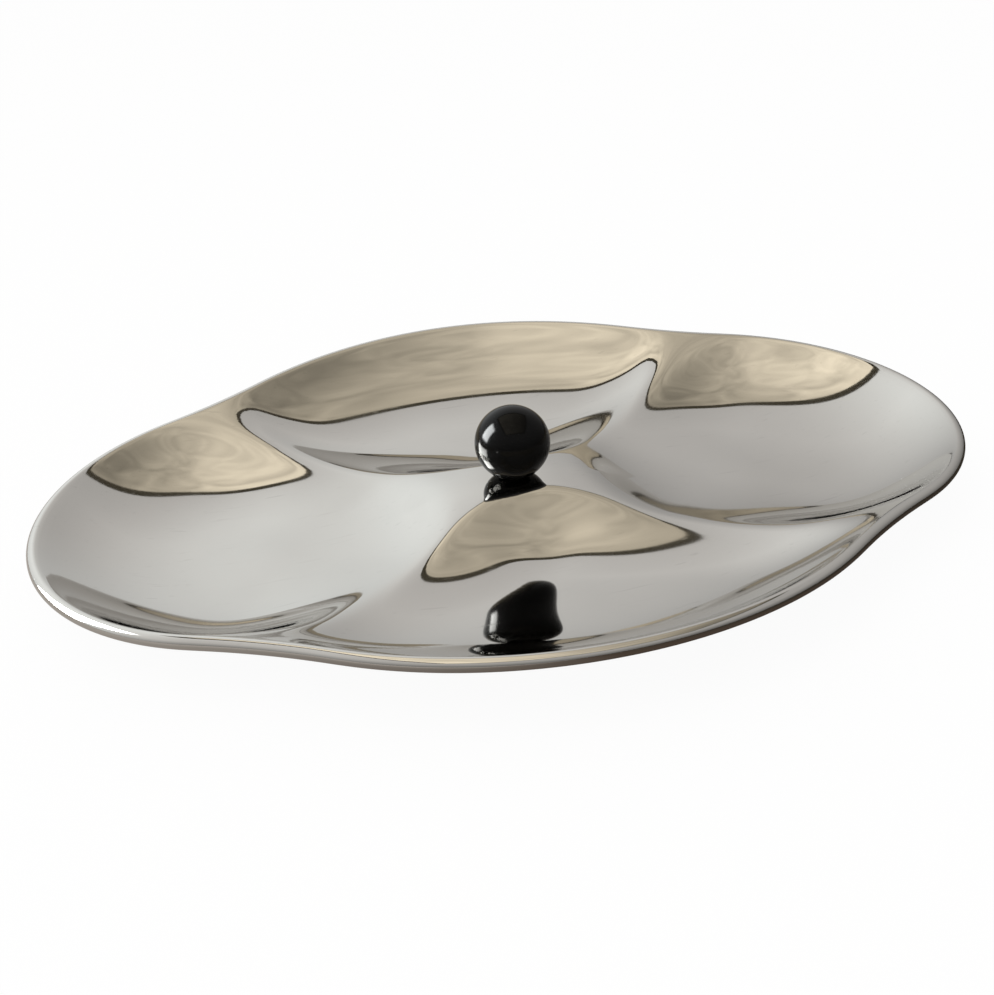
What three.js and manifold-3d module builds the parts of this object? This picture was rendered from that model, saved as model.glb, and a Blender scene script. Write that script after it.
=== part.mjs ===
// Serving dish: one pressed sheet of polished steel with four basins, a rolled edge and a raised hub
// in the middle, and a black ball knob held on the hub by a screw and washer from below.
// Millimetres, +Z up, long axis along X. The origin is on the table under the middle of the hub.
import * as THREE from "three";
import { mergeVertices } from "three/addons/utils/BufferGeometryUtils.js";
import Module from "manifold-3d";

// Outline of the rolled edge, seen from above: two end lobes and two side lobes joined by four waists.
const END_LOBE_CENTRE_X = 90;
const END_LOBE_RADIUS = 92.5;
const SIDE_LOBE_CENTRE_Y = -13;
const SIDE_LOBE_RADIUS = 150;
const WAIST_RADIUS = 260;

// Pressed sheet.
const SHEET = 0.8;
const RIM_HEIGHT = 25.4;
const RIM_SWEEP = 2.7;
const ROLL_RADIUS = 2.5;
const LIP_ANGLE = THREE.MathUtils.degToRad(32);
const CURL_END_ANGLE = THREE.MathUtils.degToRad(-165);
const HUB_HEIGHT = 17.1;
const HUB_SEAT_RADIUS = 8;

// Two end basins and two side basins. A power says how late a floor steepens towards ridges or wall,
// and a blend how square the basin is where its ridges meet each other or the wall.
const END_BASIN_CENTRE = 97;
const END_BASIN_FLAT = 0.14;
const END_RIDGE_POWER = 1.98;
const END_WALL_POWER = 1.79;
const END_RIDGE_BLEND = 1.66;
const END_CREST_ROUNDING = 0.265;
const SIDE_BASIN_CENTRE = 55.3;
const SIDE_BASIN_FLAT = 0.03;
const SIDE_RIDGE_POWER = 1.7;
const SIDE_WALL_POWER = 1.3;
const SIDE_RIDGE_BLEND = 2.64;
const SIDE_CREST_ROUNDING = 0.07;
const WALL_BLEND = 2.46;

// Four ridges between the basins. They sag outside the hub and climb to the edge at their outer ends.
const RIDGE_SWING = THREE.MathUtils.degToRad(3.4);
const RIDGE_DIP = 9.5;
const RIDGE_CLIMB = 7;

// Ball knob and its fastening.
const BALL_RADIUS = 15;
const BALL_SEAT_RADIUS = 5;
const INSERT_RADIUS = 3.6;
const INSERT_LENGTH = 14;
const INSERT_RECESS = 0.5;
const INSERT_BORE_DEPTH = 12;
const SCREW_RADIUS = 2;
const SCREW_LENGTH = 12;
const SCREW_TIP_CHAMFER = 0.5;
const SCREW_HEAD_RADIUS = 4;
const SCREW_HEAD_HEIGHT = 2.4;
const SCREW_HEAD_ROUND = 1.2;
const SLOT_WIDTH = 1.2;
const SLOT_DEPTH = 1;
const WASHER_RADIUS = 6;
const WASHER_THICKNESS = 1;
const FIT_GAP = 0.3;

// Fineness of the curved faces.
const END_LOBE_STEPS = 7;
const WAIST_STEPS = 6;
const SIDE_LOBE_STEPS = 7;
const BASIN_STEPS = 22;
const CURL_STEPS = 8;
const BALL_STEPS = 20;
const BALL_SEGMENTS = 40;
const FASTENING_SEGMENTS = 32;
const HEAD_ROUND_STEPS = 5;
const SLOPE_STEP = 0.05;

const wasm = await Module();
wasm.setup();

const HOLE_RADIUS = SCREW_RADIUS + FIT_GAP;

// The waist arc touches the end-lobe arc and the side-lobe arc from outside.
function waistCentreBetween(endCentre, sideCentre) {
  const endReach = END_LOBE_RADIUS + WAIST_RADIUS;
  const sideReach = SIDE_LOBE_RADIUS + WAIST_RADIUS;
  const toSide = sideCentre.clone().sub(endCentre);
  const span = toSide.length();
  toSide.divideScalar(span);
  const along = (endReach ** 2 - sideReach ** 2 + span ** 2) / (2 * span);
  const across = Math.sqrt(endReach ** 2 - along ** 2);
  const outward = new THREE.Vector2(toSide.y, -toSide.x);
  return endCentre.clone().addScaledVector(toSide, along).addScaledVector(outward, across);
}

const endCentre = new THREE.Vector2(END_LOBE_CENTRE_X, 0);
const sideCentre = new THREE.Vector2(0, SIDE_LOBE_CENTRE_Y);
const waistCentre = waistCentreBetween(endCentre, sideCentre);
const endTurn = waistCentre.clone().sub(endCentre).angle();
const sideTurn = waistCentre.clone().sub(sideCentre).angle();
const lipInset = ROLL_RADIUS * Math.sin(LIP_ANGLE);
const lipRise = ROLL_RADIUS * Math.cos(LIP_ANGLE);

// A ridge runs from the hub to each waist and meets it a little on the end lobe's side of its middle.
const waistMiddle = new THREE.Vector2(1, 0)
  .rotateAround(new THREE.Vector2(), (endTurn + sideTurn) / 2)
  .multiplyScalar(-WAIST_RADIUS)
  .add(waistCentre);
const ridgeAngle = waistMiddle.angle() - RIDGE_SWING;

// Height of the middle of the rolled edge: the edge sweeps up at the sides and down at the ends.
function rollHeight(x, y) {
  const spread = Math.max(x * x + y * y, Number.EPSILON);
  return RIM_HEIGHT - RIM_SWEEP * (x * x - y * y) / spread;
}

// Level distance from a point to the top of the wall, where the sheet meets the rolled edge.
function wallGap(x, y) {
  const point = new THREE.Vector2(Math.abs(x), Math.abs(y));
  let edge = point.distanceTo(waistCentre) - WAIST_RADIUS;
  if (Math.atan2(point.y, point.x - endCentre.x) <= endTurn) {
    edge = END_LOBE_RADIUS - point.distanceTo(endCentre);
  } else if (Math.atan2(point.y - sideCentre.y, point.x) >= sideTurn) {
    edge = SIDE_LOBE_RADIUS - point.distanceTo(sideCentre);
  }
  return Math.max(edge - lipInset, 0);
}

// How far a basin is pressed down at a point, from 0 on the ridges and wall to 1 on its flat floor.
// The point is given along and across the line from the hub to the middle of the basin.
function pressed(basin, along, across, gap) {
  const sine = Math.sin(basin.halfAngle);
  const inward = (basin.centre - along) * sine;
  const sideways = across * Math.cos(basin.halfAngle);
  const ridgeSpan = basin.centre * sine;
  const nearRidge = Math.max((inward + sideways) / ridgeSpan, 0) ** basin.ridgeBlend;
  const farRidge = Math.max((inward - sideways) / ridgeSpan, 0) ** basin.ridgeBlend;
  const toRidges = (nearRidge + farRidge) ** (1 / basin.ridgeBlend);
  const toWall = Math.max(1 - gap / basin.wallSpan, 0);
  const offFloor = (share) => Math.max(share - basin.flat, 0) / (1 - basin.flat);
  const ridgeRise = offFloor(toRidges) ** (basin.ridgePower * WALL_BLEND);
  const wallRise = offFloor(toWall) ** (basin.wallPower * WALL_BLEND);
  const bothRise = ridgeRise + wallRise;
  const rise = bothRise ** (1 / WALL_BLEND);
  const rounding = basin.crestRounding * Math.sqrt(ridgeRise / Math.max(bothRise, Number.EPSILON));
  if (rise <= 1 - rounding) {
    return 1 - rise;
  }
  if (rise >= 1 + rounding) {
    return 0;
  }
  return 1 - rise + (rise - 1 + rounding) ** 2 / (4 * rounding);
}

const endBasin = {
  centre: END_BASIN_CENTRE,
  flat: END_BASIN_FLAT,
  ridgePower: END_RIDGE_POWER,
  wallPower: END_WALL_POWER,
  ridgeBlend: END_RIDGE_BLEND,
  crestRounding: END_CREST_ROUNDING,
  halfAngle: ridgeAngle,
  wallSpan: END_LOBE_CENTRE_X + END_LOBE_RADIUS - lipInset - END_BASIN_CENTRE,
};
const sideBasin = {
  centre: SIDE_BASIN_CENTRE,
  flat: SIDE_BASIN_FLAT,
  ridgePower: SIDE_RIDGE_POWER,
  wallPower: SIDE_WALL_POWER,
  ridgeBlend: SIDE_RIDGE_BLEND,
  crestRounding: SIDE_CREST_ROUNDING,
  halfAngle: Math.PI / 2 - ridgeAngle,
  wallSpan: SIDE_LOBE_CENTRE_Y + SIDE_LOBE_RADIUS - lipInset - SIDE_BASIN_CENTRE,
};

// Height of the upper face of the sheet: a saddle-backed cross of ridges with four basins pressed in it.
function sheetHeight(x, y) {
  const gap = wallGap(x, y);
  const past = Math.max(Math.hypot(x, y) - HUB_SEAT_RADIUS, 0);
  const share = past / Math.max(past + gap, Number.EPSILON);
  const rimTop = rollHeight(x, y) + lipRise;
  const saddle = 16 * (share * (1 - share)) ** 2;
  const ridge = HUB_HEIGHT + (rimTop - HUB_HEIGHT) * share ** RIDGE_CLIMB - RIDGE_DIP * saddle;
  const depth = pressed(endBasin, x, y, gap) + pressed(endBasin, -x, y, gap)
    + pressed(sideBasin, y, x, gap) + pressed(sideBasin, -y, x, gap);
  return ridge + (SHEET - ridge) * depth;
}

// The point of the lower face that lies one sheet thickness under a point of the upper face.
function underSheet(top) {
  const slopeX = sheetHeight(top.x + SLOPE_STEP, top.y) - sheetHeight(top.x - SLOPE_STEP, top.y);
  const slopeY = sheetHeight(top.x, top.y + SLOPE_STEP) - sheetHeight(top.x, top.y - SLOPE_STEP);
  const normal = new THREE.Vector3(-slopeX, -slopeY, 2 * SLOPE_STEP).normalize();
  return top.clone().addScaledVector(normal, -SHEET);
}

// Places round the rolled edge with the level direction that points out of the dish there.
function edgePlaces() {
  const quarter = [];
  const addArc = (centre, radius, from, to, steps) => {
    for (let step = 0; step < steps; step += 1) {
      const out = new THREE.Vector2(1, 0).rotateAround(new THREE.Vector2(), from + (to - from) * step / steps);
      quarter.push({ at: centre.clone().addScaledVector(out, radius), out });
    }
  };
  addArc(endCentre, END_LOBE_RADIUS, 0, endTurn, END_LOBE_STEPS);
  addArc(waistCentre, -WAIST_RADIUS, endTurn, sideTurn, WAIST_STEPS);
  addArc(sideCentre, SIDE_LOBE_RADIUS, sideTurn, Math.PI / 2, SIDE_LOBE_STEPS);
  const sideMiddle = new THREE.Vector2(0, SIDE_LOBE_CENTRE_Y + SIDE_LOBE_RADIUS);
  const back = [...quarter.slice(1), { at: sideMiddle, out: new THREE.Vector2(0, 1) }].reverse();
  const turned = (places, signs) => places.map(({ at, out }) => ({
    at: at.clone().multiply(signs),
    out: out.clone().multiply(signs),
  }));
  return [
    ...quarter,
    ...turned(back, new THREE.Vector2(-1, 1)),
    ...turned(quarter, new THREE.Vector2(-1, -1)),
    ...turned(back, new THREE.Vector2(1, -1)),
  ];
}

// A closed cut through the sheet from the hole in the hub to the free end of the curl and back underneath.
function sheetSection({ at, out }) {
  const rollZ = rollHeight(at.x, at.y);
  const onRoll = (radius, angle) => {
    const level = at.clone().addScaledVector(out, radius * Math.cos(angle));
    return new THREE.Vector3(level.x, level.y, rollZ + radius * Math.sin(angle));
  };
  const wallEnd = at.clone().addScaledVector(out, -lipInset);
  const spoke = wallEnd.clone().normalize();
  const upper = [];
  const lower = [];
  const addSpoke = (radius) => {
    const level = spoke.clone().multiplyScalar(radius);
    const top = new THREE.Vector3(level.x, level.y, sheetHeight(level.x, level.y));
    upper.push(top);
    lower.push(underSheet(top));
  };
  addSpoke(HOLE_RADIUS);
  for (let step = 0; step < BASIN_STEPS; step += 1) {
    addSpoke(THREE.MathUtils.lerp(HUB_SEAT_RADIUS, wallEnd.length(), step / BASIN_STEPS));
  }
  const curlStart = Math.PI / 2 + LIP_ANGLE;
  for (let step = 0; step <= CURL_STEPS; step += 1) {
    const angle = THREE.MathUtils.lerp(curlStart, CURL_END_ANGLE, step / CURL_STEPS);
    upper.push(onRoll(ROLL_RADIUS, angle));
    lower.push(onRoll(ROLL_RADIUS - SHEET, angle));
  }
  return [...upper, ...lower.reverse()];
}

function dishGeometry() {
  const sections = edgePlaces().map(sheetSection);
  const length = sections[0].length;
  const corner = (row, column) => (row % sections.length) * length + column % length;
  const faces = [];
  for (let row = 0; row < sections.length; row += 1) {
    for (let column = 0; column < length; column += 1) {
      const near = corner(row, column);
      const far = corner(row + 1, column + 1);
      faces.push(near, corner(row, column + 1), far);
      faces.push(near, far, corner(row + 1, column));
    }
  }
  const geometry = new THREE.BufferGeometry().setFromPoints(sections.flat());
  geometry.setIndex(faces);
  geometry.computeVertexNormals();
  return geometry;
}

// Turns a profile of [radius, height] pairs about the Z axis.
function turnedSolid(profile, segments) {
  const points = profile.map(([radius, height]) => new THREE.Vector2(radius, height));
  return new THREE.LatheGeometry(points, segments).rotateX(Math.PI / 2);
}

// Heights of the fastening, counted up from the table.
const washerTop = HUB_HEIGHT - SHEET;
const headTop = washerTop - WASHER_THICKNESS;
const ballCentreZ = HUB_HEIGHT + Math.sqrt(BALL_RADIUS ** 2 - BALL_SEAT_RADIUS ** 2);
const insertBottom = HUB_HEIGHT + INSERT_RECESS;
const insertTop = insertBottom + INSERT_LENGTH;

// Ball with a flat seat and a blind bore for the threaded insert.
function ballGeometry() {
  const boreRadius = INSERT_RADIUS + FIT_GAP;
  const profile = [[0, insertTop], [boreRadius, insertTop], [boreRadius, HUB_HEIGHT]];
  const seatAngle = -Math.acos(BALL_SEAT_RADIUS / BALL_RADIUS);
  for (let step = 0; step < BALL_STEPS; step += 1) {
    const angle = THREE.MathUtils.lerp(seatAngle, Math.PI / 2, step / BALL_STEPS);
    profile.push([BALL_RADIUS * Math.cos(angle), ballCentreZ + BALL_RADIUS * Math.sin(angle)]);
  }
  profile.push([0, ballCentreZ + BALL_RADIUS]);
  return turnedSolid(profile, BALL_SEGMENTS);
}

// Threaded insert: a bush closed at its upper end.
function insertGeometry() {
  const boreTop = insertBottom + INSERT_BORE_DEPTH;
  return turnedSolid([
    [0, boreTop],
    [HOLE_RADIUS, boreTop],
    [HOLE_RADIUS, insertBottom],
    [INSERT_RADIUS, insertBottom],
    [INSERT_RADIUS, insertTop],
    [0, insertTop],
  ], FASTENING_SEGMENTS);
}

function washerGeometry() {
  return turnedSolid([
    [HOLE_RADIUS, headTop],
    [WASHER_RADIUS, headTop],
    [WASHER_RADIUS, washerTop],
    [HOLE_RADIUS, washerTop],
    [HOLE_RADIUS, headTop],
  ], FASTENING_SEGMENTS);
}

function solidFrom(geometry) {
  const plain = new THREE.BufferGeometry();
  plain.setAttribute("position", geometry.getAttribute("position"));
  plain.setIndex(geometry.getIndex());
  const merged = mergeVertices(plain);
  return new wasm.Manifold(new wasm.Mesh({
    numProp: 3,
    vertProperties: new Float32Array(merged.getAttribute("position").array),
    triVerts: new Uint32Array(merged.getIndex().array),
  }));
}

function geometryFrom(solid) {
  const mesh = solid.getMesh();
  const geometry = new THREE.BufferGeometry();
  geometry.setAttribute("position", new THREE.BufferAttribute(mesh.vertProperties, 3));
  geometry.setIndex(new THREE.BufferAttribute(mesh.triVerts, 1));
  geometry.computeVertexNormals();
  return geometry;
}

// Pan-head screw, head down, with a straight driver slot.
function screwGeometry() {
  const headBottom = headTop - SCREW_HEAD_HEIGHT;
  const tip = headTop + SCREW_LENGTH;
  const profile = [[0, headBottom]];
  for (let step = 0; step <= HEAD_ROUND_STEPS; step += 1) {
    const angle = THREE.MathUtils.lerp(-Math.PI / 2, 0, step / HEAD_ROUND_STEPS);
    profile.push([
      SCREW_HEAD_RADIUS - SCREW_HEAD_ROUND + SCREW_HEAD_ROUND * Math.cos(angle),
      headBottom + SCREW_HEAD_ROUND + SCREW_HEAD_ROUND * Math.sin(angle),
    ]);
  }
  profile.push(
    [SCREW_HEAD_RADIUS, headTop],
    [SCREW_RADIUS, headTop],
    [SCREW_RADIUS, tip - SCREW_TIP_CHAMFER],
    [SCREW_RADIUS - SCREW_TIP_CHAMFER, tip],
    [0, tip],
  );
  const slot = new THREE.BoxGeometry(2 * WASHER_RADIUS, SLOT_WIDTH, 2 * SLOT_DEPTH);
  slot.translate(0, 0, headBottom);
  return geometryFrom(solidFrom(turnedSolid(profile, FASTENING_SEGMENTS)).subtract(solidFrom(slot)));
}

const polishedSteel = new THREE.MeshStandardMaterial({ color: 0xc8c5bf, roughness: 0.07, metalness: 1 });
const glossBlack = new THREE.MeshStandardMaterial({ color: 0x101011, roughness: 0.1, metalness: 0 });
const brass = new THREE.MeshStandardMaterial({ color: 0xb08d3c, roughness: 0.35, metalness: 1 });
const platedSteel = new THREE.MeshStandardMaterial({ color: 0xa9abad, roughness: 0.3, metalness: 1 });

const dish = new THREE.Group();
dish.name = "serving_dish";
const addPiece = (name, geometry, material) => {
  const piece = new THREE.Mesh(geometry, material);
  piece.name = name;
  dish.add(piece);
};
addPiece("dish", dishGeometry(), polishedSteel);
addPiece("knob_ball", ballGeometry(), glossBlack);
addPiece("knob_insert", insertGeometry(), brass);
addPiece("knob_screw", screwGeometry(), platedSteel);
addPiece("screw_washer", washerGeometry(), platedSteel);

export default dish;
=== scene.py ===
"""Serving dish in polished pressed steel with four basins and a black ball knob on its hub."""

import math

import bmesh
import bpy
from bpy.props import FloatProperty, FloatVectorProperty, IntProperty, PointerProperty
from mathutils import Matrix, Vector


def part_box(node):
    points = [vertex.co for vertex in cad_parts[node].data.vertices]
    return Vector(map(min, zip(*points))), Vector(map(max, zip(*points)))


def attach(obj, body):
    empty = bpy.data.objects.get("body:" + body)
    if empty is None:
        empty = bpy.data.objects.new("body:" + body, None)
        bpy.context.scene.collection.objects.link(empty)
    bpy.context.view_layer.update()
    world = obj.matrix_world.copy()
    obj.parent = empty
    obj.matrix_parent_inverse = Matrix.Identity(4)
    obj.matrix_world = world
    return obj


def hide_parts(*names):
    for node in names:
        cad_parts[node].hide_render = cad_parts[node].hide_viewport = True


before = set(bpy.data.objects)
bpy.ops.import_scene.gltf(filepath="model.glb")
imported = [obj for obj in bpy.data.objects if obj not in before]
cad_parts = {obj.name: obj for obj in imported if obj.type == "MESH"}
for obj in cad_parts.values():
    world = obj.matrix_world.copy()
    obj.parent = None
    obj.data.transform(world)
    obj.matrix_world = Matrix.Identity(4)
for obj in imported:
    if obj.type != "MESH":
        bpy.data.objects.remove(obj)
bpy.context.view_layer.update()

bl_info = {
    "name": "Serving dish",
    "version": (1, 0, 0),
    "blender": (4, 5, 0),
    "location": "3D View > Sidebar > Serving dish",
    "description": "Builds a pressed steel serving dish with a ball knob, and a plain stage for it",
    "category": "Add Mesh",
}

MM = 0.001
BALL_LOW, BALL_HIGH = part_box("knob_ball")
INSERT_LOW, INSERT_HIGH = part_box("knob_insert")
SCREW_LOW, SCREW_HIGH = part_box("knob_screw")
WASHER_LOW, WASHER_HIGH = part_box("screw_washer")
FIT_GAP = 0.3 * MM
TURNED_STEPS = 64
TURNED_SMOOTHING = math.radians(30)
SHEET_SMOOTHING = math.radians(50)


def length(label, text, default, **options):
    """A size in metres that a user can change."""
    return FloatProperty(
        name=label, description=text, default=default, precision=5,
        subtype="DISTANCE", unit="LENGTH", **options,
    )


def angle(label, text, degrees):
    """An angle that a user can change."""
    return FloatProperty(
        name=label, description=text, default=math.radians(degrees), subtype="ANGLE", unit="ROTATION",
    )


def count(label, text, default, least):
    """A number of mesh steps that a user can change."""
    return IntProperty(name=label, description=text, default=default, min=least)


def share(label, text, default, top=1.0):
    """A plain number between zero and top."""
    return FloatProperty(name=label, description=text, default=default, min=0.0, max=top)


def colour(label, text, default):
    """A colour that a user can change."""
    return FloatVectorProperty(
        name=label, description=text, default=default, subtype="COLOR", size=3, min=0.0, max=1.0,
    )


class SheetSizes(bpy.types.PropertyGroup):
    """Sizes of the pressed sheet."""

    end_lobe_centre: length("End lobe centre", "Distance of an end lobe's arc centre from the hub", 90 * MM)
    end_lobe_radius: length("End lobe radius", "Radius of an end lobe of the edge", 92.5 * MM)
    side_lobe_centre: length(
        "Side lobe centre", "Place of a side lobe's arc centre, behind the hub", -13 * MM,
    )
    side_lobe_radius: length("Side lobe radius", "Radius of a side lobe of the edge", 150 * MM)
    waist_radius: length("Waist radius", "Radius of the hollow between two lobes", 260 * MM)
    thickness: length("Sheet", "Thickness of the steel sheet", 0.8 * MM)
    rim_height: length("Rim height", "Mean height of the middle of the rolled edge", 25.4 * MM)
    rim_sweep: length("Rim sweep", "How far the edge rises at the sides and falls at the ends", 2.7 * MM)
    roll_radius: length("Roll radius", "Outer radius of the rolled edge", 2.5 * MM)
    lip_angle: angle("Lip angle", "Slope of the wall where it meets the rolled edge", 32)
    curl_end: angle("Curl end", "Angle at which the curl of the rolled edge stops", -165)
    hub_height: length("Hub height", "Height of the flat seat on the hub", BALL_LOW.z)
    hub_seat_radius: length("Hub seat", "Radius of the flat seat on the hub", 8 * MM)
    hole_radius: length("Hole", "Radius of the screw hole in the hub", 2 * MM + FIT_GAP)
    end_basin_centre: length("End basin centre", "Distance of an end basin's middle from the hub", 97 * MM)
    end_basin_flat: share("End basin flat", "Part of an end basin that is flat", 0.14)
    end_ridge_power: share("End ridge power", "How late an end basin steepens to its ridges", 1.98, 8.0)
    end_wall_power: share("End wall power", "How late an end basin steepens to its wall", 1.79, 8.0)
    end_ridge_blend: share("End ridge blend", "How square an end basin is between its ridges", 1.66, 8.0)
    end_crest_rounding: share("End crest rounding", "How soft the crests are beside an end basin", 0.265)
    side_basin_centre: length(
        "Side basin centre", "Distance of a side basin's middle from the hub", 55.3 * MM,
    )
    side_basin_flat: share("Side basin flat", "Part of a side basin that is flat", 0.03)
    side_ridge_power: share("Side ridge power", "How late a side basin steepens to its ridges", 1.7, 8.0)
    side_wall_power: share("Side wall power", "How late a side basin steepens to its wall", 1.3, 8.0)
    side_ridge_blend: share("Side ridge blend", "How square a side basin is between its ridges", 2.64, 8.0)
    side_crest_rounding: share("Side crest rounding", "How soft the crests are beside a side basin", 0.07)
    wall_blend: share("Wall blend", "How square a basin is between its ridges and its wall", 2.46, 8.0)
    ridge_swing: angle(
        "Ridge swing", "How far a ridge is turned from the waist's middle to the end lobe", 3.4,
    )
    ridge_dip: length("Ridge dip", "How far a ridge sags between the hub and the edge", 9.5 * MM)
    ridge_climb: share("Ridge climb", "How late a ridge climbs to the edge", 7.0, 12.0)
    spokes: count("Spokes", "Mesh lines in a quarter of the dish", 40, 8)
    rings: count("Rings", "Mesh rings from the hub to the edge", 34, 8)
    curl_rings: count("Curl rings", "Mesh rings round the rolled edge", 16, 6)


class KnobSizes(bpy.types.PropertyGroup):
    """Sizes of the ball knob and its fastening."""

    ball_radius: length("Ball radius", "Radius of the ball", 15 * MM)
    seat_radius: length("Ball seat", "Radius of the flat under the ball", 5 * MM)
    seat_edge: length("Seat edge", "Width of the rounded edge round the ball's seat", 0.3 * MM)
    bore_radius: length("Ball bore", "Radius of the bore for the insert", INSERT_HIGH.x + FIT_GAP)
    insert_radius: length("Insert radius", "Radius of the threaded insert", INSERT_HIGH.x)
    insert_bore_depth: length("Insert bore", "Depth of the insert's bore", 12 * MM)
    screw_radius: length("Screw radius", "Radius of the screw's shank", 2 * MM)
    hole_radius: length("Hole radius", "Radius of the holes that the screw goes through", 2 * MM + FIT_GAP)
    head_radius: length("Head radius", "Radius of the screw's head", SCREW_HIGH.x)
    head_height: length("Head height", "Height of the screw's head", 2.4 * MM)
    head_round: length("Head rounding", "Radius of the head's rounded edge", 1.2 * MM)
    slot_width: length("Slot width", "Width of the driver slot", 1.2 * MM)
    slot_depth: length("Slot depth", "Depth of the driver slot", 1.0 * MM)
    washer_radius: length("Washer radius", "Radius of the washer", WASHER_HIGH.x)
    break_edge: length("Broken edge", "Width of the chamfer on turned edges", 0.12 * MM)


class Finishes(bpy.types.PropertyGroup):
    """Colours of the surfaces."""

    steel: colour("Polished steel", "Colour of the dish", (0.508, 0.494, 0.47))
    black: colour("Gloss black", "Colour of the ball", (0.002, 0.002, 0.002))
    brass: colour("Brass", "Colour of the insert", (0.62, 0.45, 0.17))
    plated: colour("Plated steel", "Colour of the screw and washer", (0.55, 0.56, 0.57))


class StageSizes(bpy.types.PropertyGroup):
    """Sizes, colours and light of the stage."""

    floor_size: length("Floor size", "Side of the square floor", 12.0)
    floor_colour: colour("Floor", "Colour of the floor", (0.94, 0.94, 0.94))
    card_height: length("Card height", "Height of the overhead card above the floor", 0.91)
    card_left: length("Card left", "Left edge of the overhead card", -0.511)
    card_right: length("Card right", "Right edge of the overhead card", 0.709)
    card_far: length("Card far", "Far edge of the overhead card", 0.616)
    card_near: length("Card near", "Near edge of the overhead card", -0.75)
    card_border: length("Card border", "Width of the overhead card's dark border", 0.062)
    card_turn: angle("Card turn", "How far the overhead card is turned round the dish", -6.2)
    card_colour: colour("Card", "Colour of the overhead card", (0.85, 0.765, 0.61))
    card_left_light: share("Card left light", "How bright the overhead card is at its left", 1.9, 10.0)
    card_right_light: share("Card right light", "How bright the overhead card is at its right", 0.5, 10.0)
    card_edge_lift: length("Card edge lift", "Height of the dark border above the overhead card", 5 * MM)
    card_edge_colour: colour("Card edge", "Colour of the overhead card's edge", (0.075, 0.065, 0.045))
    room_light: share("Room light", "How bright the room's bright side is in polished surfaces", 1.52, 10.0)
    room_dim: share("Room dim", "How bright the room's dim side is in polished surfaces", 0.64, 10.0)
    room_low: share("Room low", "How bright the room's dim side is near the floor", 0.2, 10.0)
    room_warm: colour("Room warm", "Colour of the room's dim side", (0.98, 0.965, 0.945))
    room_cool: colour("Room cool", "Colour of the room's bright side", (0.955, 0.985, 0.985))
    room_turn: angle("Room turn", "Angle of the room's bright side from the back towards the left", 45)
    room_radius: length("Room radius", "Distance of the room's wall", 3.0)
    window_light: share("Window light", "How bright the side window is in polished surfaces", 60.0, 80.0)
    window_around: angle(
        "Window around", "Angle of the window from the back, less than zero towards the left", -68,
    )
    window_above: angle("Window above", "Angle of the window above the floor", 25)
    window_distance: length("Window distance", "Distance of the window from the dish", 1.6)
    window_width: length("Window width", "Width of the window with its soft edge", 0.86)
    window_height: length("Window height", "Height of the window with its soft edge", 1.25)
    window_fade: share("Window fade", "Part of the window's half size after which it fades", 0.7)
    # The table top is a glowing disc seen only in polished surfaces. Its brown middle is the table's own
    # tone, its light left is painted light and its near-black right is painted shade.
    table_reach: length("Table reach", "Radius of the dark table top", 2.2)
    table_lift: length("Table lift", "Height of the dark table top above the floor", 0.3 * MM)
    table_lit_left: colour("Table left", "Colour under the rim at the left", (0.62, 0.58, 0.54))
    table_middle: colour("Table middle", "Colour under the rim in the middle", (0.12, 0.09, 0.07))
    table_shaded_right: colour("Table right", "Colour under the rim at the right", (0.05, 0.042, 0.032))
    skirting: colour("Skirting", "Colour of the dark line along the foot of the room", (0.06, 0.055, 0.05))
    skirting_middle: length("Skirting middle", "Height of the middle of the dark line", 0.05)
    skirting_width: length("Skirting width", "Width of the dark line", 0.035)
    world_colour: colour("World", "Colour of the light from all round", (1.0, 0.985, 0.965))
    world_light: share("World light", "How bright the light from all round is", 0.75)
    lamp_power: share("Lamp power", "Power of the soft lamp in watts", 12.0, 100.0)
    lamp_size: length("Lamp size", "Diameter of the soft lamp", 1.6)
    camera_distance: length(
        "Camera distance", "Distance of the camera from the place that it looks at", 0.42979,
    )
    camera_around: angle(
        "Camera around", "Angle of the camera from the front, less than zero to the left", -14.309,
    )
    camera_above: angle("Camera above", "Angle of the camera above the floor", 29.061)
    camera_roll: angle("Camera roll", "How far the camera is tilted about its own axis", -3.409)


def settings():
    """The settings kept on the scene."""
    scene = bpy.context.scene
    return scene.dish_sheet, scene.dish_knob, scene.dish_finishes, scene.dish_stage


# Modelling helpers


def start_piece(name, add, **options):
    """Adds a primitive with nothing else selected and puts its place into its mesh."""
    if bpy.context.object and bpy.context.object.mode != "OBJECT":
        bpy.ops.object.mode_set(mode="OBJECT")
    bpy.ops.object.select_all(action="DESELECT")
    add(**options)
    piece = bpy.context.object
    piece.name = name
    piece.data.name = name
    bpy.ops.object.transform_apply(location=True, rotation=True, scale=True)
    return piece


def apply_modifier(piece, kind, **values):
    """Adds a modifier, sets it and applies it."""
    modifier = piece.modifiers.new(kind.title(), kind)
    for key, value in values.items():
        setattr(modifier, key, value)
    bpy.ops.object.modifier_apply(modifier=modifier.name)


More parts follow.
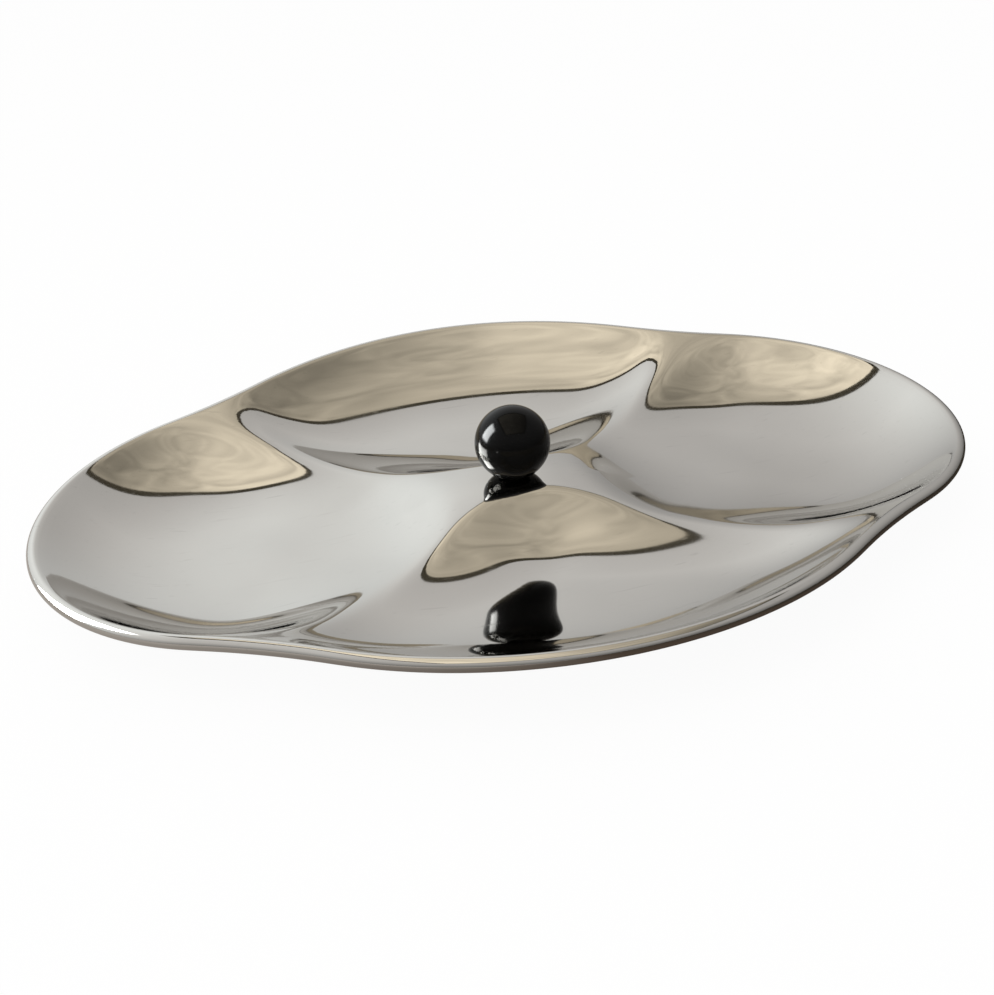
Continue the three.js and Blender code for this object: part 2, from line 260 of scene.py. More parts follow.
def turn_profile(name, profile, steps):
    """Spins a profile of (radius, height) corners about the Z axis into a closed piece."""
    first = profile[0]
    piece = start_piece(
        name, bpy.ops.mesh.primitive_plane_add, size=MM, location=(first[0], 0.0, first[1]),
    )
    bpy.ops.object.mode_set(mode="EDIT")
    bpy.ops.mesh.select_mode(type="VERT")
    bpy.ops.mesh.select_all(action="SELECT")
    bpy.ops.mesh.merge(type="CENTER")
    for (radius, height), (last_radius, last_height) in zip(profile[1:], profile):
        move = (radius - last_radius, 0.0, height - last_height)
        bpy.ops.mesh.extrude_region_move(TRANSFORM_OT_translate={"value": move})
    bpy.ops.mesh.select_all(action="SELECT")
    bpy.ops.mesh.spin(steps=steps, angle=2 * math.pi, center=(0, 0, 0), axis=(0, 0, 1))
    bpy.ops.mesh.select_all(action="SELECT")
    bpy.ops.mesh.remove_doubles(threshold=1e-7)
    bpy.ops.mesh.normals_make_consistent(inside=False)
    bpy.ops.object.mode_set(mode="OBJECT")
    return piece


def finish_piece(piece, node, material, smooth_angle):
    """Shades a piece, gives it its finish and puts it in the place of its CAD node."""
    if not piece.data.polygons:
        raise RuntimeError(f"{piece.name} has no faces")
    bpy.ops.object.select_all(action="DESELECT")
    piece.select_set(True)
    bpy.context.view_layer.objects.active = piece
    bpy.ops.object.shade_smooth_by_angle(angle=smooth_angle)
    piece.data.materials.clear()
    piece.data.materials.append(material)
    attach(piece, "root")
    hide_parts(node)


# Shape of the pressed sheet


RING_CROWDING = 1.15  # above 1, mesh rings lie closer together near the hub
TINY = 1e-12  # keeps a divisor above zero


class SheetShape:
    """The upper face of the sheet, worked out from its sizes."""

    def __init__(self, sizes):
        self.sizes = sizes
        self.end_centre = Vector((sizes.end_lobe_centre, 0.0))
        self.side_centre = Vector((0.0, sizes.side_lobe_centre))
        self.waist_centre = self.find_waist_centre()
        to_end = self.waist_centre - self.end_centre
        to_side = self.waist_centre - self.side_centre
        self.end_turn = math.atan2(to_end.y, to_end.x)
        self.side_turn = math.atan2(to_side.y, to_side.x)
        self.lip_inset = sizes.roll_radius * math.sin(sizes.lip_angle)
        self.lip_rise = sizes.roll_radius * math.cos(sizes.lip_angle)
        middle_turn = (self.end_turn + self.side_turn) / 2
        to_middle = Vector((math.cos(middle_turn), math.sin(middle_turn)))
        waist = self.waist_centre - sizes.waist_radius * to_middle
        self.ridge_angle = math.atan2(waist.y, waist.x) - sizes.ridge_swing

    def find_waist_centre(self):
        """Centre of the waist arc, which touches the end lobe and the side lobe from outside."""
        sizes = self.sizes
        end_reach = sizes.end_lobe_radius + sizes.waist_radius
        side_reach = sizes.side_lobe_radius + sizes.waist_radius
        to_side = self.side_centre - self.end_centre
        span = to_side.length
        to_side.normalize()
        forward = (end_reach ** 2 - side_reach ** 2 + span ** 2) / (2 * span)
        across = math.sqrt(end_reach ** 2 - forward ** 2)
        return self.end_centre + forward * to_side + across * Vector((to_side.y, -to_side.x))

    def roll_height(self, x, y):
        """Height of the middle of the rolled edge in the direction of a point."""
        sizes = self.sizes
        square = max(x * x + y * y, TINY)
        return sizes.rim_height - sizes.rim_sweep * (x * x - y * y) / square

    def wall_gap(self, x, y):
        """Level distance from a point to the top of the wall."""
        sizes = self.sizes
        point = Vector((abs(x), abs(y)))
        edge = (point - self.waist_centre).length - sizes.waist_radius
        if math.atan2(point.y, point.x - self.end_centre.x) <= self.end_turn:
            edge = sizes.end_lobe_radius - (point - self.end_centre).length
        elif math.atan2(point.y - self.side_centre.y, point.x) >= self.side_turn:
            edge = sizes.side_lobe_radius - (point - self.side_centre).length
        return max(edge - self.lip_inset, 0.0)

    def pressed(self, outward, across, gap, basin):
        """How far a basin is pressed down, from 0 on its ridges and wall to 1 on its flat floor.

        The point lies outward from the hub on the basin's middle line, and across from that line.
        """
        centre, flat, ridge_power, wall_power, ridge_blend, crest_rounding, half_angle, reach = basin
        sizes = self.sizes
        sine = math.sin(half_angle)
        inward = (centre - outward) * sine
        sideways = across * math.cos(half_angle)
        ridges = [max((inward + side) / (centre * sine), 0.0) for side in (sideways, -sideways)]
        to_ridges = sum(part ** ridge_blend for part in ridges) ** (1 / ridge_blend)
        to_wall = max(1 - gap / (reach - self.lip_inset - centre), 0.0)
        ridge_rise = (max(to_ridges - flat, 0.0) / (1 - flat)) ** (ridge_power * sizes.wall_blend)
        wall_rise = (max(to_wall - flat, 0.0) / (1 - flat)) ** (wall_power * sizes.wall_blend)
        both_rise = ridge_rise + wall_rise
        rise = both_rise ** (1 / sizes.wall_blend)
        rounding = crest_rounding * math.sqrt(ridge_rise / max(both_rise, TINY))
        if rise <= 1 - rounding:
            return 1 - rise
        if rise >= 1 + rounding:
            return 0.0
        return 1 - rise + (rise - 1 + rounding) ** 2 / (4 * rounding)

    def height(self, x, y):
        """Height of the upper face: a cross of sagging ridges with four basins pressed in it."""
        sizes = self.sizes
        gap = self.wall_gap(x, y)
        past = max(math.hypot(x, y) - sizes.hub_seat_radius, 0.0)
        part = past / max(past + gap, TINY)
        rim_top = self.roll_height(x, y) + self.lip_rise
        sag = 16 * (part * (1 - part)) ** 2  # 0 at both ends of the ridge, 1 halfway
        climb = (rim_top - sizes.hub_height) * part ** sizes.ridge_climb
        ridge = sizes.hub_height + climb - sizes.ridge_dip * sag
        end = (
            sizes.end_basin_centre, sizes.end_basin_flat, sizes.end_ridge_power, sizes.end_wall_power,
            sizes.end_ridge_blend, sizes.end_crest_rounding,
            self.ridge_angle, sizes.end_lobe_centre + sizes.end_lobe_radius,
        )
        side = (
            sizes.side_basin_centre, sizes.side_basin_flat, sizes.side_ridge_power, sizes.side_wall_power,
            sizes.side_ridge_blend, sizes.side_crest_rounding,
            math.pi / 2 - self.ridge_angle, sizes.side_lobe_centre + sizes.side_lobe_radius,
        )
        depth = sum(self.pressed(sign * x, y, gap, end) for sign in (1, -1))
        depth += sum(self.pressed(sign * y, x, gap, side) for sign in (1, -1))
        return ridge + (sizes.thickness - ridge) * depth

    def edge_places(self):
        """Places round the rolled edge, each with the level direction out of the dish."""
        sizes = self.sizes
        arcs = (
            (self.end_centre, sizes.end_lobe_radius, 0.0, self.end_turn),
            (self.waist_centre, -sizes.waist_radius, self.end_turn, self.side_turn),
            (self.side_centre, sizes.side_lobe_radius, self.side_turn, math.pi / 2),
        )
        lengths = [abs(radius * (stop - start)) for _, radius, start, stop in arcs]
        quarter = []
        for step in range(sizes.spokes + 1):
            way = sum(lengths) * step / sizes.spokes
            index = 0
            while index < len(arcs) - 1 and way > lengths[index]:
                way -= lengths[index]
                index += 1
            centre, radius, start, stop = arcs[index]
            turn = start + (stop - start) * way / lengths[index]
            out = Vector((math.cos(turn), math.sin(turn)))
            quarter.append((centre + radius * out, out))
        forth, back = quarter[:-1], quarter[:0:-1]
        places = []
        for part, signs in ((forth, (1, 1)), (back, (-1, 1)), (forth, (-1, -1)), (back, (1, -1))):
            for at, out in part:
                places.append((at * Vector(signs), out * Vector(signs)))
        return places

    def spoke(self, at, out):
        """Points from the hole in the hub up to the rolled edge and round its curl."""
        sizes = self.sizes
        wall_end = at - self.lip_inset * out
        direction = wall_end.normalized()
        radii = [sizes.hole_radius, (sizes.hole_radius + sizes.hub_seat_radius) / 2]
        span = wall_end.length - sizes.hub_seat_radius
        for step in range(sizes.rings):
            radii.append(sizes.hub_seat_radius + span * (step / sizes.rings) ** RING_CROWDING)
        points = []
        for radius in radii:
            level = direction * radius
            points.append(Vector((level.x, level.y, self.height(level.x, level.y))))
        middle = self.roll_height(at.x, at.y)
        start = math.pi / 2 + sizes.lip_angle
        for step in range(sizes.curl_rings + 1):
            turn = start + (sizes.curl_end - start) * step / sizes.curl_rings
            level = at + out * sizes.roll_radius * math.cos(turn)
            points.append(Vector((level.x, level.y, middle + sizes.roll_radius * math.sin(turn))))
        return points


# Finishes


def new_material(name):
    """A node material with a shader to set up."""
    material = bpy.data.materials.new(name)
    material.use_nodes = True
    nodes = material.node_tree.nodes
    return material, nodes, material.node_tree.links, nodes["Principled BSDF"]


def object_noise(nodes, links, scale, detail, stretch=(1, 1, 1), turn=(0, 0, 0), swirl=0.0):
    """Noise on the piece's own coordinates."""
    place = nodes.new("ShaderNodeTexCoord")
    mapping = nodes.new("ShaderNodeMapping")
    mapping.inputs["Scale"].default_value = stretch
    mapping.inputs["Rotation"].default_value = turn
    noise = nodes.new("ShaderNodeTexNoise")
    noise.inputs["Scale"].default_value = scale
    noise.inputs["Detail"].default_value = detail
    noise.inputs["Distortion"].default_value = swirl
    links.new(place.outputs["Object"], mapping.inputs["Vector"])
    links.new(mapping.outputs["Vector"], noise.inputs["Vector"])
    return noise.outputs["Fac"]


def spread(nodes, links, source, low, high, start=0.3, stop=0.7):
    """Maps a value from start to stop onto the range from low to high."""
    ramp = nodes.new("ShaderNodeMapRange")
    ramp.inputs["From Min"].default_value = start
    ramp.inputs["From Max"].default_value = stop
    ramp.inputs["To Min"].default_value = low
    ramp.inputs["To Max"].default_value = high
    links.new(source, ramp.inputs["Value"])
    return ramp.outputs["Result"]


def along(nodes, links, direction):
    """How far a place on the piece lies in a direction."""
    place = nodes.new("ShaderNodeTexCoord")
    product = nodes.new("ShaderNodeVectorMath")
    product.operation = "DOT_PRODUCT"
    product.inputs[1].default_value = direction
    links.new(place.outputs["Object"], product.inputs[0])
    return product.outputs["Value"]


def combine(nodes, links, operation, first, second):
    """The result of a maths operation on two numbers or node outputs."""
    total = nodes.new("ShaderNodeMath")
    total.operation = operation
    for value, socket in ((first, total.inputs[0]), (second, total.inputs[1])):
        if isinstance(value, (int, float)):
            socket.default_value = value
        else:
            links.new(value, socket)
    return total.outputs["Value"]


def scaled(base, factor):
    """A colour made darker or lighter."""
    return [channel * factor for channel in base]


def blend(nodes, links, source, first, second):
    """A mix of two colours by a value. The first may also be a node's output."""
    mix = nodes.new("ShaderNodeMix")
    mix.data_type = "RGBA"
    if isinstance(first, bpy.types.NodeSocket):
        links.new(first, mix.inputs["A"])
    else:
        mix.inputs["A"].default_value = (*first, 1)
    mix.inputs["B"].default_value = (*second, 1)
    links.new(source, mix.inputs["Factor"])
    return mix.outputs["Result"]


def vary_colour(nodes, links, source, base, low, high):
    """The base colour, made darker and lighter by a value."""
    return blend(nodes, links, source, scaled(base, low), scaled(base, high))


def add_bump(nodes, links, shader, source, distance, strength=1.0):
    """Fine relief from a noise value."""
    bump = nodes.new("ShaderNodeBump")
    bump.inputs["Distance"].default_value = distance
    bump.inputs["Strength"].default_value = strength
    links.new(source, bump.inputs["Height"])
    links.new(bump.outputs["Normal"], shader.inputs["Normal"])


def polished_steel(base):
    """Mirror-polished steel with wiped smudges and fine scratches from use."""
    material, nodes, links, shader = new_material("polished_steel")
    shader.inputs["Metallic"].default_value = 1.0
    smudge = object_noise(nodes, links, 26, 4)
    scratch_a = object_noise(nodes, links, 30, 2, (1, 22, 22), (0, 0, 0.5), 0.3)
    scratch_b = object_noise(nodes, links, 24, 2, (1, 26, 26), (0, 0, 1.6), 0.5)
    wear = combine(
        nodes, links, "ADD",
        spread(nodes, links, scratch_a, 0.0, 0.5, 0.68, 0.76),
        spread(nodes, links, scratch_b, 0.0, 0.4, 0.68, 0.76),
    )
    worn = combine(nodes, links, "MULTIPLY", wear, 0.1)
    rough = combine(nodes, links, "ADD", spread(nodes, links, smudge, 0.03, 0.075), worn)
    links.new(rough, shader.inputs["Roughness"])
    wiped = vary_colour(nodes, links, smudge, base, 1.05, 0.95)
    links.new(blend(nodes, links, wear, wiped, scaled(base, 0.86)), shader.inputs["Base Color"])
    waviness = object_noise(nodes, links, 22, 1)
    add_bump(nodes, links, shader, waviness, 0.02 * MM)
    return material


def gloss_black(base):
    """Moulded gloss black with wiped smudges."""
    material, nodes, links, shader = new_material("gloss_black")
    shader.inputs["Specular IOR Level"].default_value = 0.09
    smudge = object_noise(nodes, links, 90, 5)
    links.new(spread(nodes, links, smudge, 0.07, 0.14), shader.inputs["Roughness"])
    links.new(vary_colour(nodes, links, smudge, base, 0.8, 1.4), shader.inputs["Base Color"])
    ripple = object_noise(nodes, links, 160, 1)
    add_bump(nodes, links, shader, ripple, 0.004 * MM)
    return material


def turned_metal(name, base, rough_low, rough_high):
    """Turned metal with fine rings and dull patches."""
    material, nodes, links, shader = new_material(name)
    shader.inputs["Metallic"].default_value = 1.0
    patch = object_noise(nodes, links, 220, 4)
    rings = object_noise(nodes, links, 40, 2, (1, 1, 60))
    links.new(spread(nodes, links, patch, rough_low, rough_high), shader.inputs["Roughness"])
    links.new(vary_colour(nodes, links, patch, base, 0.85, 1.1), shader.inputs["Base Color"])
    add_bump(nodes, links, shader, rings, 0.01 * MM)
    return material


# Operators


def turn_about_hub(corner):
    """Angle of a mesh corner about the Z axis from just before +X, so that a corner on +X comes first."""
    return (math.atan2(corner.co.y, corner.co.x) + 1e-5) % (2 * math.pi)


class PressDish(bpy.types.Operator):
    """Press the sheet into four basins, roll its edge and give it its thickness"""

    bl_idname = "serving_dish.press_dish"
    bl_label = "Dish"

    def execute(self, context):
        sizes, _, finishes, _ = settings()
        shape = SheetShape(sizes)
        spokes = [shape.spoke(at, out) for at, out in shape.edge_places()]
        piece = start_piece(
            "pressed_dish", bpy.ops.mesh.primitive_circle_add,
            vertices=len(spokes), radius=sizes.hole_radius, location=(0, 0, sizes.hub_height),
        )
        bpy.ops.object.mode_set(mode="EDIT")
        bpy.ops.mesh.select_mode(type="EDGE")
        bpy.ops.mesh.select_all(action="SELECT")
        for ring in range(len(spokes[0])):
            if ring:
                bpy.ops.mesh.extrude_region()
            mesh = bmesh.from_edit_mesh(piece.data)
            corners = sorted((corner for corner in mesh.verts if corner.select), key=turn_about_hub)
            for corner, spoke in zip(corners, spokes, strict=True):
                corner.co = spoke[ring]
            bmesh.update_edit_mesh(piece.data)
        bpy.ops.mesh.select_all(action="SELECT")
        bpy.ops.mesh.normals_make_consistent(inside=False)
        bpy.ops.object.mode_set(mode="OBJECT")
        if piece.data.polygons[0].normal.z < 0:
            piece.data.flip_normals()
        apply_modifier(piece, "SOLIDIFY", thickness=sizes.thickness, offset=-1.0, use_even_offset=True)
        apply_modifier(piece, "SUBSURF", levels=1, render_levels=1)
        finish_piece(piece, "dish", polished_steel(finishes.steel), SHEET_SMOOTHING)
        return {"FINISHED"}


class TurnBall(bpy.types.Operator):
    """Cut a flat seat under the ball and bore it for the insert"""

    bl_idname = "serving_dish.turn_ball"
    bl_label = "Ball knob"

    def execute(self, context):
        _, sizes, finishes, _ = settings()
        seat = BALL_LOW.z
        middle = seat + math.sqrt(sizes.ball_radius ** 2 - sizes.seat_radius ** 2)
        piece = start_piece(
            "ball_knob", bpy.ops.mesh.primitive_uv_sphere_add,
            segments=96, ring_count=64, radius=sizes.ball_radius, location=(0, 0, middle),
        )
        bpy.ops.object.mode_set(mode="EDIT")
        bpy.ops.mesh.select_all(action="SELECT")
        bpy.ops.mesh.bisect(
            plane_co=(0, 0, seat), plane_no=(0, 0, 1), clear_inner=True, use_fill=True,
        )
        bpy.ops.mesh.select_mode(type="FACE")
        mesh = bmesh.from_edit_mesh(piece.data)
        for face in mesh.faces:
            face.select_set(face.normal.z < -0.999 and face.calc_center_median().z < seat + 0.1 * MM)
        bmesh.update_edit_mesh(piece.data)
        bpy.ops.mesh.inset(thickness=sizes.seat_edge)
        bpy.ops.mesh.inset(thickness=sizes.seat_radius - sizes.seat_edge - sizes.bore_radius)
        bpy.ops.mesh.extrude_region()
        bpy.ops.transform.translate(value=(0, 0, INSERT_HIGH.z - seat))
        bpy.ops.mesh.select_all(action="SELECT")
        bpy.ops.mesh.normals_make_consistent(inside=False)
        bpy.ops.object.mode_set(mode="OBJECT")
        finish_piece(piece, "knob_ball", gloss_black(finishes.black), TURNED_SMOOTHING)
        return {"FINISHED"}


class TurnInsert(bpy.types.Operator):
    """Turn the threaded insert inside the ball"""

    bl_idname = "serving_dish.turn_insert"
    bl_label = "Threaded insert"

    def execute(self, context):
        _, sizes, finishes, _ = settings()
        low, high, edge = INSERT_LOW.z, INSERT_HIGH.z, sizes.break_edge
        profile = [
            (0.0, low + sizes.insert_bore_depth),
            (sizes.hole_radius, low + sizes.insert_bore_depth),
            (sizes.hole_radius, low + edge),
            (sizes.hole_radius + edge, low),
            (sizes.insert_radius - edge, low),
            (sizes.insert_radius, low + edge),
            (sizes.insert_radius, high - edge),
            (sizes.insert_radius - edge, high),
            (0.0, high),
        ]
        piece = turn_profile("threaded_insert", profile, TURNED_STEPS)
        brass = turned_metal("turned_brass", finishes.brass, 0.25, 0.4)
        finish_piece(piece, "knob_insert", brass, TURNED_SMOOTHING)
        return {"FINISHED"}


class TurnScrew(bpy.types.Operator):
    """Turn the pan-head screw and cut its driver slot"""

    bl_idname = "serving_dish.turn_screw"
    bl_label = "Screw"

    def execute(self, context):
        _, sizes, finishes, _ = settings()
        low, high, edge = SCREW_LOW.z, SCREW_HIGH.z, sizes.break_edge
        under_head = low + sizes.head_height
        tip = 4 * edge
        round_steps = 8
        profile = [(0.0, low)]
        for step in range(round_steps + 1):
            turn = -math.pi / 2 + math.pi / 2 * step / round_steps
            profile.append((
                sizes.head_radius - sizes.head_round + sizes.head_round * math.cos(turn),
                low + sizes.head_round + sizes.head_round * math.sin(turn),
            ))
        profile += [
            (sizes.head_radius, under_head - edge),
            (sizes.head_radius - edge, under_head),
            (sizes.screw_radius, under_head),
            (sizes.screw_radius, high - tip),
            (sizes.screw_radius - tip, high),
            (0.0, high),
        ]
        cutter = start_piece(
            "slot_cutter", bpy.ops.mesh.primitive_cube_add, size=1,
            scale=(4 * sizes.head_radius, sizes.slot_width, 2 * sizes.slot_depth), location=(0, 0, low),
        )
        piece = turn_profile("pan_head_screw", profile, TURNED_STEPS)
        apply_modifier(piece, "BOOLEAN", operation="DIFFERENCE", solver="EXACT", object=cutter)
        bpy.data.meshes.remove(cutter.data)
        plated = turned_metal("plated_screw", finishes.plated, 0.18, 0.36)
        finish_piece(piece, "knob_screw", plated, TURNED_SMOOTHING)
        return {"FINISHED"}


class TurnWasher(bpy.types.Operator):
    """Turn the washer between the hub and the screw's head"""

    bl_idname = "serving_dish.turn_washer"
    bl_label = "Washer"

    def execute(self, context):
        _, sizes, finishes, _ = settings()
        low, high, edge = WASHER_LOW.z, WASHER_HIGH.z, sizes.break_edge
        profile = [
            (sizes.hole_radius, low),
            (sizes.washer_radius - edge, low),
            (sizes.washer_radius, low + edge),
            (sizes.washer_radius, high - edge),
            (sizes.washer_radius - edge, high),
            (sizes.hole_radius, high),
            (sizes.hole_radius, low),
        ]
        piece = turn_profile("flat_washer", profile, TURNED_STEPS)
        plated = turned_metal("plated_washer", finishes.plated, 0.22, 0.4)
        finish_piece(piece, "screw_washer", plated, TURNED_SMOOTHING)
        return {"FINISHED"}


# Stage


IMAGE_WIDTH = 994
FOCAL_PIXELS = 1156.0  # focal length in pixels of the picture
LOOK_AT = (-0.01537, -0.03061)  # at the height of the rim
LAMP_PLACE = (-0.9, -0.6, 1.7)
FLOOR_GLOW = 0.95  # how much of the floor's own white a seen ray gets, the rest is lit and shaded
ROOM_FADE = 3.7  # how fast the room falls off from its bright side


def seen_ray(nodes, links):
    """1 for rays from the camera and for mirrored and refracted rays, 0 for the rest."""
    path = nodes.new("ShaderNodeLightPath")
    seen = path.outputs["Is Camera Ray"]
    for name in ("Is Glossy Ray", "Is Transmission Ray"):
        seen = combine(nodes, links, "MAXIMUM", seen, path.outputs[name])
    return seen


def emission_material(name, tint, strength):
    """A glowing card."""
    material = bpy.data.materials.new(name)
    material.use_nodes = True
    nodes = material.node_tree.nodes
    nodes.clear()
    glow = nodes.new("ShaderNodeEmission")
    glow.inputs["Color"].default_value = (*tint, 1)
    glow.inputs["Strength"].default_value = strength
    output = nodes.new("ShaderNodeOutputMaterial")
    material.node_tree.links.new(glow.outputs["Emission"], output.inputs["Surface"])
    return material, nodes, material.node_tree.links, glow


def hide_from_light(card):
    """Keeps a card out of the picture and lets light through it."""
    card.visible_camera = False
    card.visible_diffuse = False
    card.visible_shadow = False
    card.visible_transmission = False


def stage_card(name, add, material, stretch=(1, 1, 1), **options):
    """A card that only shows in polished surfaces."""
    bpy.ops.object.select_all(action="DESELECT")
    add(**options)
    card = bpy.context.object
    card.name = name
    card.scale = stretch
    card.data.materials.append(material)
    hide_from_light(card)


def direction_to(around, above):
    """The direction at an angle from +Y towards +X and an angle above the floor."""
    level = math.cos(above)
    return Vector((math.sin(around) * level, math.cos(around) * level, math.sin(above)))


def soft_pane(name, tint, at_edge, in_middle, fade_start):
    """A glow for a card that fades to the strength of what is behind it at the card's edges."""
    pane, nodes, links, glow = emission_material(name, tint, in_middle)
    inner = []
    for axis in ((1, 0, 0), (0, 1, 0)):
        aside = combine(nodes, links, "ABSOLUTE", along(nodes, links, axis), 0.0)
        inner.append(spread(nodes, links, aside, 1.0, 0.0, fade_start, 1.0))
    soft = combine(nodes, links, "MULTIPLY", *inner)
    links.new(spread(nodes, links, soft, at_edge, in_middle, 0.0, 1.0), glow.inputs["Strength"])
    return pane


class SetStage(bpy.types.Operator):
    """Lay the floor, hang the cards, light the scene and place the camera"""

    bl_idname = "serving_dish.set_stage"
    bl_label = "Stage"

    def execute(self, context):
        sheet, _, _, sizes = settings()
        self.lay_floor(sizes)
        self.hang_overhead_card(sizes)
        self.hang_room(sizes)
        self.hang_window(sizes)
        self.lay_dark_table(sizes)
        self.light(sizes)
        self.place_camera(sizes, sheet.rim_height)
        context.scene.view_settings.view_transform = "Standard"
        return {"FINISHED"}

    def lay_floor(self, sizes):
        floor = start_piece("floor", bpy.ops.mesh.primitive_plane_add, size=sizes.floor_size)
        material, nodes, links, shader = new_material("pale_floor")
        shader.inputs["Base Color"].default_value = (*sizes.floor_colour, 1)
        shader.inputs["Roughness"].default_value = 1.0
        shader.inputs["Specular IOR Level"].default_value = 0.0
        glow = nodes.new("ShaderNodeEmission")
        mix = nodes.new("ShaderNodeMixShader")
        links.new(combine(nodes, links, "MULTIPLY", seen_ray(nodes, links), FLOOR_GLOW), mix.inputs["Fac"])
        links.new(shader.outputs["BSDF"], mix.inputs[1])
        links.new(glow.outputs["Emission"], mix.inputs[2])
        links.new(mix.outputs["Shader"], nodes["Material Output"].inputs["Surface"])
        floor.data.materials.append(material)

    def hang_overhead_card(self, sizes):
        card, nodes, links, glow = emission_material("warm_card", sizes.card_colour, 1.0)
        noise = object_noise(nodes, links, 2.4, 4, (1, 1.4, 1), (0, 0, 0.8), 0.9)
        patches = spread(nodes, links, noise, 0.0, 1.0)
        links.new(vary_colour(nodes, links, patches, sizes.card_colour, 0.74, 1.24), glow.inputs["Color"])
        across = along(nodes, links, (1, 0, 0))
        strength = spread(nodes, links, across, sizes.card_left_light, sizes.card_right_light, -1.0, 0.8)
        links.new(strength, glow.inputs["Strength"])
        edge, _, _, _ = emission_material("card_edge", sizes.card_edge_colour, 1.0)
        turn = Matrix.Rotation(sizes.card_turn, 3, "Z")
        near_left = Vector((sizes.card_left, sizes.card_near, sizes.card_height))
        far_right = Vector((sizes.card_right, sizes.card_far, sizes.card_height))
        middle = (near_left + far_right) / 2
        half = (far_right - near_left) / 2 + Vector((0, 0, 1))
        border = Vector((sizes.card_border, sizes.card_border, 0))
        for name, size, lift, material in (
            ("overhead_card", half - border, 0.0, card),
            ("overhead_card_edge", half, sizes.card_edge_lift, edge),
        ):
            stage_card(
                name, bpy.ops.mesh.primitive_plane_add, material, size, size=2,
                location=turn @ middle + Vector((0, 0, lift)), rotation=(0, 0, sizes.card_turn),
            )

    def hang_room(self, sizes):
        room, nodes, links, glow = emission_material("room", sizes.room_warm, sizes.room_light)
        bright_side = (-math.sin(sizes.room_turn), math.cos(sizes.room_turn), 0)
        lean = spread(nodes, links, along(nodes, links, bright_side), 0.0, 1.0, -1.0, 1.0)
        fade = combine(nodes, links, "POWER", lean, ROOM_FADE)
        up = along(nodes, links, (0, 0, 1))
        dim = spread(nodes, links, up, sizes.room_low, sizes.room_dim, 0.0, 0.6)
        bright = spread(nodes, links, fade, 0.0, sizes.room_light - sizes.room_dim, 0.0, 0.66)
        links.new(combine(nodes, links, "ADD", dim, bright), glow.inputs["Strength"])
        coolness = spread(nodes, links, fade, 0.0, 1.0, 0.15, 0.6)
        links.new(blend(nodes, links, coolness, sizes.room_warm, sizes.room_cool), glow.inputs["Color"])
        stage_card(
            "room", bpy.ops.mesh.primitive_uv_sphere_add, room, (sizes.room_radius,) * 3,
            segments=64, ring_count=32, radius=1,
        )

    def hang_window(self, sizes):
        pane = soft_pane("window", sizes.room_cool, sizes.room_light, sizes.window_light, sizes.window_fade)
        place = sizes.window_distance * direction_to(sizes.window_around, sizes.window_above)
        stage_card(
            "window", bpy.ops.mesh.primitive_plane_add, pane,
            (sizes.window_width / 2, sizes.window_height / 2, 1), size=2,
            location=place, rotation=(-place).to_track_quat("Z", "Y").to_euler(),
        )

    def lay_dark_table(self, sizes):
        table, nodes, links, light = emission_material("table", sizes.table_middle, 1.0)
        # The ramp paints light on the table at the left and shade at the right, around its brown middle.
        ramp = nodes.new("ShaderNodeValToRGB")
        ramp.color_ramp.elements.new(0.5)
        lit_and_shaded_tints = (sizes.table_lit_left, sizes.table_middle, sizes.table_shaded_right)
        for stop, tint in zip(ramp.color_ramp.elements, lit_and_shaded_tints, strict=True):
            stop.color = (*tint, 1)
        across = along(nodes, links, (1, 0, 0))
        links.new(spread(nodes, links, across, 0.0, 1.0, -0.1, 0.1), ramp.inputs["Fac"])
        links.new(ramp.outputs["Color"], light.inputs["Color"])
        reach = sizes.table_reach
        stage_card(
            "table", bpy.ops.mesh.primitive_circle_add, table, (reach, reach, 1), vertices=96, radius=1,
            fill_type="NGON", location=(0, 0, sizes.table_lift),
        )
        line, _, _, _ = emission_material("skirting", sizes.skirting, 1.0)
        stage_card(
            "skirting", bpy.ops.mesh.primitive_cylinder_add, line, vertices=96, radius=reach,
            depth=sizes.skirting_width, end_fill_type="NOTHING", location=(0, 0, sizes.skirting_middle),
        )

    def light(self, sizes):
        world = bpy.data.worlds.new("soft_room")
        bpy.context.scene.world = world
        world.use_nodes = True
        nodes, links = world.node_tree.nodes, world.node_tree.links
        background = nodes["Background"]
        background.inputs["Color"].default_value = (*sizes.world_colour, 1)
        strength = spread(nodes, links, seen_ray(nodes, links), sizes.world_light, 1.0, 0.0, 1.0)
        links.new(strength, background.inputs["Strength"])
        lamp = bpy.data.lights.new("soft_box", "AREA")
        lamp.shape = "DISK"
        lamp.size = sizes.lamp_size
        lamp.energy = sizes.lamp_power
        soft_box = bpy.data.objects.new("soft_box", lamp)
        bpy.context.scene.collection.objects.link(soft_box)
        soft_box.visible_glossy = False
        soft_box.location = LAMP_PLACE
        soft_box.rotation_euler = (-soft_box.location).to_track_quat("-Z", "Y").to_euler()

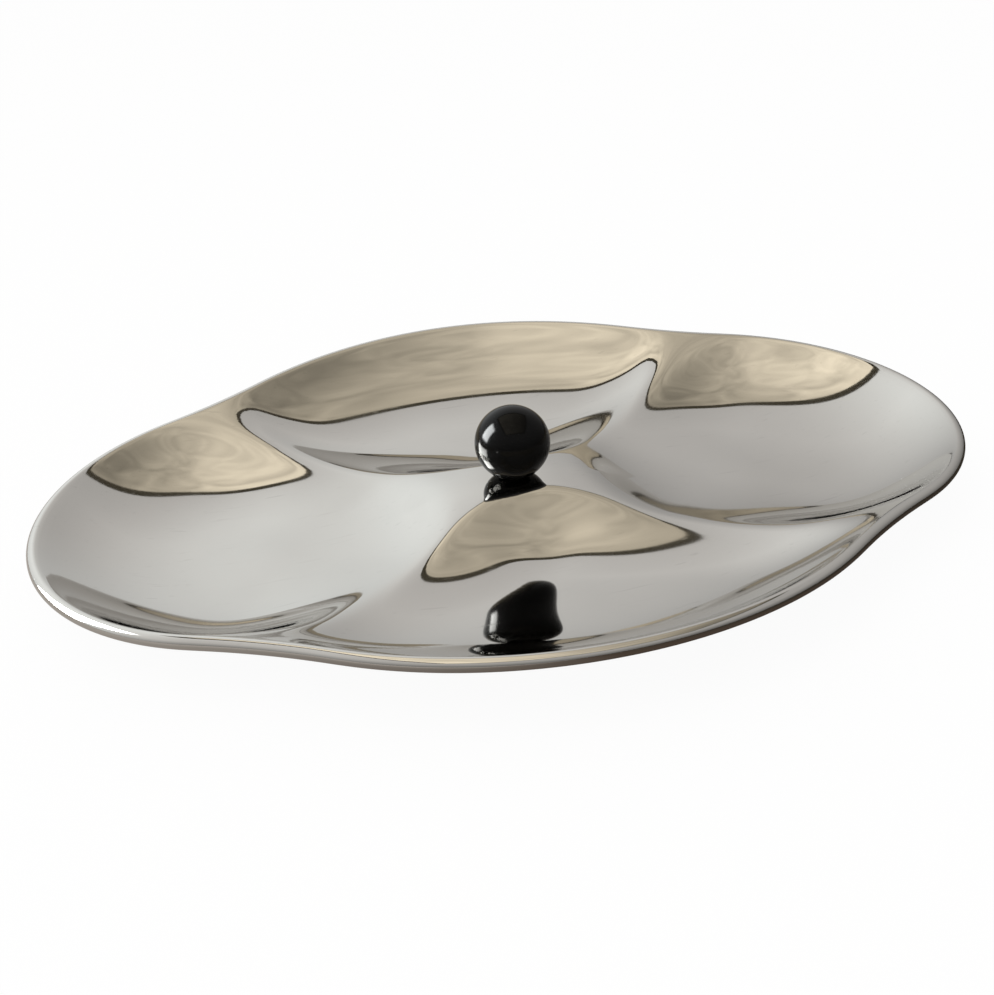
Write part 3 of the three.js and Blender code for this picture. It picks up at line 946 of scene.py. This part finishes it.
    def place_camera(self, sizes, rim_height):
        back = direction_to(math.pi - sizes.camera_around, sizes.camera_above)
        right = (-back).cross(Vector((0, 0, 1))).normalized()
        up = right.cross(-back)
        cosine, sine = math.cos(sizes.camera_roll), math.sin(sizes.camera_roll)
        turned_right = cosine * right + sine * up
        turned_up = cosine * up - sine * right
        lens = bpy.data.cameras.new("camera")
        lens.sensor_fit = "HORIZONTAL"
        lens.sensor_width = 36.0
        lens.lens = FOCAL_PIXELS / IMAGE_WIDTH * lens.sensor_width
        lens.clip_start = 0.01
        camera = bpy.data.objects.new("camera", lens)
        bpy.context.scene.collection.objects.link(camera)
        place = Matrix((turned_right, turned_up, back)).transposed().to_4x4()
        place.translation = Vector((*LOOK_AT, rim_height)) + sizes.camera_distance * back
        camera.matrix_world = place
        bpy.context.scene.camera = camera


PIECE_OPERATORS = (PressDish, TurnBall, TurnInsert, TurnScrew, TurnWasher, SetStage)


class ServingDishPanel(bpy.types.Panel):
    """Sizes, finishes and build steps of the serving dish"""

    bl_idname = "VIEW3D_PT_serving_dish"
    bl_label = "Serving dish"
    bl_space_type = "VIEW_3D"
    bl_region_type = "UI"
    bl_category = "Serving dish"

    def draw(self, context):
        for step in PIECE_OPERATORS:
            self.layout.operator(step.bl_idname)
        for group in settings():
            box = self.layout.box()
            for name in group.__annotations__:
                box.prop(group, name)


PROPERTY_GROUPS = {
    "dish_sheet": SheetSizes,
    "dish_knob": KnobSizes,
    "dish_finishes": Finishes,
    "dish_stage": StageSizes,
}


def register():
    for name, group in PROPERTY_GROUPS.items():
        bpy.utils.register_class(group)
        setattr(bpy.types.Scene, name, PointerProperty(type=group))
    for item in (*PIECE_OPERATORS, ServingDishPanel):
        bpy.utils.register_class(item)


def unregister():
    for item in reversed((*PIECE_OPERATORS, ServingDishPanel)):
        bpy.utils.unregister_class(item)
    for name, group in reversed(PROPERTY_GROUPS.items()):
        delattr(bpy.types.Scene, name)
        bpy.utils.unregister_class(group)


def main():
    register()
    bpy.ops.serving_dish.press_dish()
    bpy.ops.serving_dish.turn_ball()
    bpy.ops.serving_dish.turn_insert()
    bpy.ops.serving_dish.turn_screw()
    bpy.ops.serving_dish.turn_washer()
    bpy.ops.serving_dish.set_stage()


if __name__ == "__main__":
    main()
